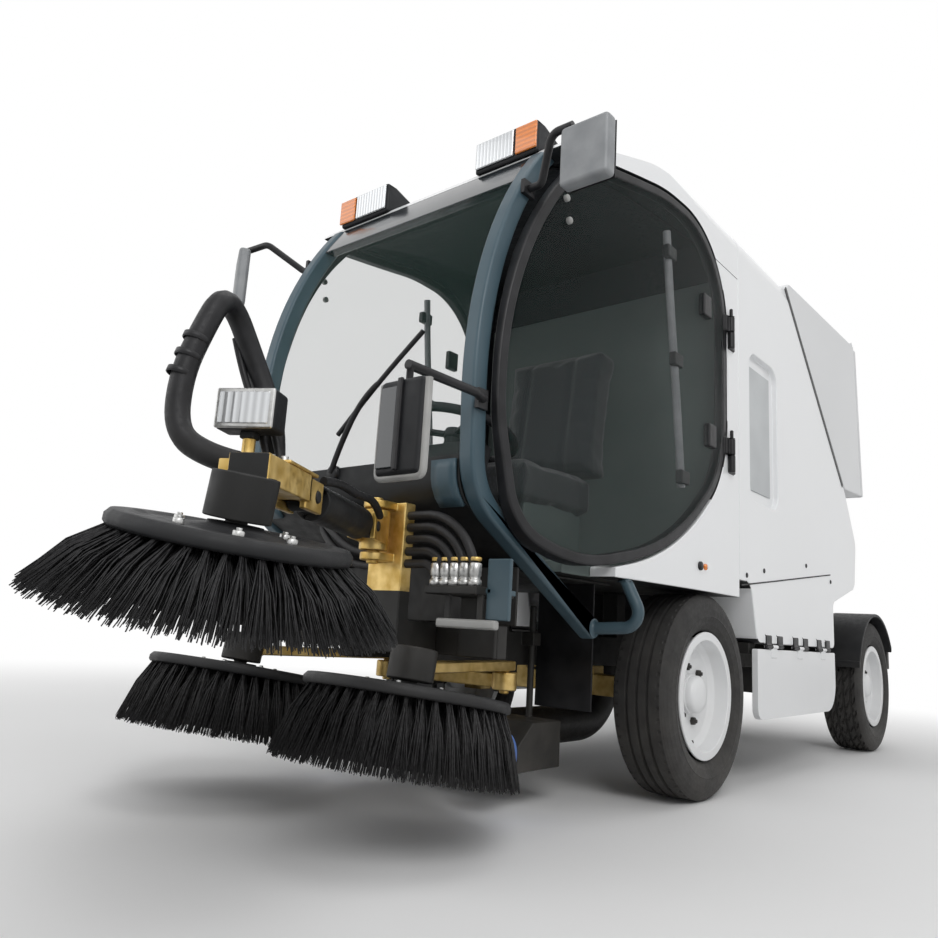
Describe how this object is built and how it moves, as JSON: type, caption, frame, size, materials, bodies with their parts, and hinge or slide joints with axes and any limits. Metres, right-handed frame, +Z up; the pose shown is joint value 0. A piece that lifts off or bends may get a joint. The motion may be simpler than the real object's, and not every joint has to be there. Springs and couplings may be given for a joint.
{
  "type": "compact street sweeper",
  "caption": "Compact street sweeper with a glazed cab, rear tipping hopper, two side brushes, a boom-mounted front brush and a suction nozzle.",
  "frame": {"origin": "centre of the bottom of the machine's box, on the ground between the wheels", "axes": "+X forward along the machine, +Y to its left, +Z up"},
  "size_m": [4.494, 1.598, 2.105],
  "materials": {
    "white_panel": "satin white paint",
    "white_rim": "white wheel paint",
    "blue_steel": "blue-grey paint",
    "black_steel": "black paint",
    "zinc_steel": "yellow zinc",
    "cast_block": "as cast",
    "chrome_rod": "polished",
    "tinted_glass": "green tint",
    "dark_plastic": "moulded black",
    "grey_plastic": "moulded grey",
    "blue_plastic": "moulded blue",
    "seat_fabric": "woven",
    "clear_lens": "clear",
    "amber_lens": "amber lens",
    "red_lens": "red lens",
    "hose_rubber": "smooth",
    "bristle": "stiff bristles",
    "tyre": "rubber"
  },
  "bodies": {
    "chassis": {"chassis_frame": "black_steel", "front_axle": "zinc_steel", "rear_axle": "black_steel", "rear_lamps": "red_lens", "engine_block": "cast_block", "cab_frame": "blue_steel", "cab_roof": "white_panel", "front_panel": "black_steel", "windshield": "tinted_glass", "header_panel": "dark_plastic", "cab_tub": "dark_plastic", "cab_sides": "white_panel", "body_panels": "white_panel", "seat_cushion": "seat_fabric", "seat_back": "seat_fabric", "dashboard": "dark_plastic", "roof_lamps": "dark_plastic", "roof_lamp_lenses": "clear_lens", "roof_indicators": "amber_lens", "mirror_heads": "grey_plastic", "mirror_arms": "black_steel", "body_deck": "white_panel", "rear_guards": "dark_plastic", "boom_base": "zinc_steel", "hydraulic_hoses": "hose_rubber", "suction_duct": "hose_rubber"},
    "boom_root": {"boom_root": "zinc_steel"},
    "boom_arm": {"boom_arm": "black_steel"},
    "boom_head": {"boom_head": "zinc_steel", "work_lamp": "grey_plastic", "boom_hose": "hose_rubber"},
    "front_brush": {"front_brush": "bristle"},
    "brush_beam": {"brush_beam": "zinc_steel"},
    "nozzle": {"suction_nozzle": "black_steel"},
    "hopper": {"hopper": "white_panel"},
    "tailgate": {"hopper_tailgate": "white_panel"},
    "tip_cylinder": {"tip_cylinder": "black_steel"},
    "tip_rod": {"tip_rod": "chrome_rod"},
    "door_left": {"door_frame_left": "dark_plastic", "door_glass_left": "tinted_glass"},
    "skirt_left": {"skirt_left": "white_panel"},
    "knuckle_left": {"knuckle_left": "zinc_steel"},
    "brush_arm_left": {"brush_arm_left": "zinc_steel"},
    "side_brush_left": {"side_brush_left": "bristle"},
    "roller_left": {"nozzle_roller_left": "blue_plastic"},
    "door_right": {"door_frame_right": "dark_plastic", "door_glass_right": "tinted_glass"},
    "skirt_right": {"skirt_right": "white_panel"},
    "knuckle_right": {"knuckle_right": "zinc_steel"},
    "brush_arm_right": {"brush_arm_right": "zinc_steel"},
    "side_brush_right": {"side_brush_right": "bristle"},
    "roller_right": {"nozzle_roller_right": "blue_plastic"},
    "wheel_front_left": {"tyre_front_left": "tyre", "rim_front_left": "white_rim"},
    "wheel_front_right": {"tyre_front_right": "tyre", "rim_front_right": "white_rim"},
    "wheel_rear_left": {"tyre_rear_left": "tyre", "rim_rear_left": "white_rim"},
    "wheel_rear_right": {"tyre_rear_right": "tyre", "rim_rear_right": "white_rim"}
  },
  "joints": [
    {"name": "steer_left", "type": "hinge", "parent": "chassis", "child": "knuckle_left", "pos_m": [0.183, 0.355, 0.317], "axis": [0, 0, 1], "range_deg": [-30, 30]},
    {"name": "spin_front_left", "type": "hinge", "parent": "knuckle_left", "child": "wheel_front_left", "pos_m": [0.183, 0.482, 0.317], "axis": [0, 1, 0], "continuous": true},
    {"name": "spin_rear_left", "type": "hinge", "parent": "chassis", "child": "wheel_rear_left", "pos_m": [-1.867, 0.482, 0.317], "axis": [0, 1, 0], "continuous": true},
    {"name": "door_left", "type": "hinge", "parent": "chassis", "child": "door_left", "pos_m": [0.043, 0.592, 1.375], "axis": [0, 0, 1], "range_deg": [0, 75]},
    {"name": "skirt_left", "type": "hinge", "parent": "chassis", "child": "skirt_left", "pos_m": [-0.677, 0.583, 0.48], "axis": [1, 0, 0], "range_deg": [0, 80]},
    {"name": "steer_right", "type": "hinge", "parent": "chassis", "child": "knuckle_right", "pos_m": [0.183, -0.355, 0.317], "axis": [0, 0, 1], "range_deg": [-30, 30]},
    {"name": "spin_front_right", "type": "hinge", "parent": "knuckle_right", "child": "wheel_front_right", "pos_m": [0.183, -0.482, 0.317], "axis": [0, 1, 0], "continuous": true},
    {"name": "spin_rear_right", "type": "hinge", "parent": "chassis", "child": "wheel_rear_right", "pos_m": [-1.867, -0.482, 0.317], "axis": [0, 1, 0], "continuous": true},
    {"name": "door_right", "type": "hinge", "parent": "chassis", "child": "door_right", "pos_m": [0.043, -0.592, 1.375], "axis": [0, 0, -1], "range_deg": [0, 75]},
    {"name": "skirt_right", "type": "hinge", "parent": "chassis", "child": "skirt_right", "pos_m": [-0.677, -0.583, 0.48], "axis": [-1, 0, 0], "range_deg": [0, 80]},
    {"name": "brush_lower", "type": "hinge", "parent": "chassis", "child": "brush_beam", "pos_m": [0.683, 0, 0.34], "axis": [0, -1, 0], "range_deg": [-12, 0]},
    {"name": "brush_swing_left", "type": "hinge", "parent": "brush_beam", "child": "brush_arm_left", "pos_m": [0.813, 0.235, 0.34], "axis": [0, 0, 1], "range_deg": [0, 35]},
    {"name": "brush_spin_left", "type": "hinge", "parent": "brush_arm_left", "child": "side_brush_left", "pos_m": [1.333, 0.33, 0.155], "axis": [-0.1478, 0, 0.989], "continuous": true},
    {"name": "brush_swing_right", "type": "hinge", "parent": "brush_beam", "child": "brush_arm_right", "pos_m": [0.813, -0.235, 0.34], "axis": [0, 0, -1], "range_deg": [0, 35]},
    {"name": "brush_spin_right", "type": "hinge", "parent": "brush_arm_right", "child": "side_brush_right", "pos_m": [1.333, -0.33, 0.155], "axis": [-0.1478, 0, 0.989], "continuous": true},
    {"name": "boom_swing", "type": "hinge", "parent": "chassis", "child": "boom_root", "pos_m": [1.313, 0.183, 0.705], "axis": [0, 0, 1], "range_deg": [-40, 40]},
    {"name": "boom_lift", "type": "hinge", "parent": "boom_root", "child": "boom_arm", "pos_m": [1.38681, 0.22515, 0.705], "axis": [0.4958, -0.8684, 0], "range_deg": [-25, 25]},
    {"name": "boom_level", "type": "hinge", "parent": "boom_arm", "child": "boom_head", "pos_m": [1.74286, 0.42844, 0.705], "axis": [0.4958, -0.8684, 0], "range_deg": [-25, 25]},
    {"name": "front_brush_spin", "type": "hinge", "parent": "boom_head", "child": "front_brush", "pos_m": [1.947, 0.504, 0.48], "axis": [0, 0.1822, 0.9833], "continuous": true},
    {"name": "hopper_tip", "type": "hinge", "parent": "chassis", "child": "hopper", "pos_m": [-1.667, 0, 1.01], "axis": [0, -1, 0], "range_deg": [0, 50]},
    {"name": "tailgate", "type": "hinge", "parent": "hopper", "child": "tailgate", "pos_m": [-1.712, 0, 2.091], "axis": [0, 1, 0], "range_deg": [0, 85]},
    {"name": "cylinder_swing", "type": "hinge", "parent": "chassis", "child": "tip_cylinder", "pos_m": [-1.167, 0, 0.59], "axis": [0, -1, 0], "range_deg": [0, 30]},
    {"name": "rod_slide", "type": "slide", "parent": "tip_cylinder", "child": "tip_rod", "axis": [0.1144, 0, 0.9934], "range_m": [0, 0.376]},
    {"name": "nozzle_lower", "type": "slide", "parent": "chassis", "child": "nozzle", "axis": [0, 0, -1], "range_m": [0, 0.075]},
    {"name": "roller_spin_left", "type": "hinge", "parent": "nozzle", "child": "roller_left", "pos_m": [0.903, 0.288, 0.15], "axis": [0, 1, 0], "continuous": true},
    {"name": "roller_spin_right", "type": "hinge", "parent": "nozzle", "child": "roller_right", "pos_m": [0.903, -0.288, 0.15], "axis": [0, 1, 0], "continuous": true}
  ],
  "couplings": [
    {"joint": "steer_right", "follows": "steer_left", "ratio": 1},
    {"joint": "boom_level", "follows": "boom_lift", "ratio": -1},
    {"joint": "cylinder_swing", "follows": "hopper_tip", "ratio": 0.588},
    {"joint": "rod_slide", "follows": "hopper_tip", "m_per_rad": 0.42857}
  ]
}
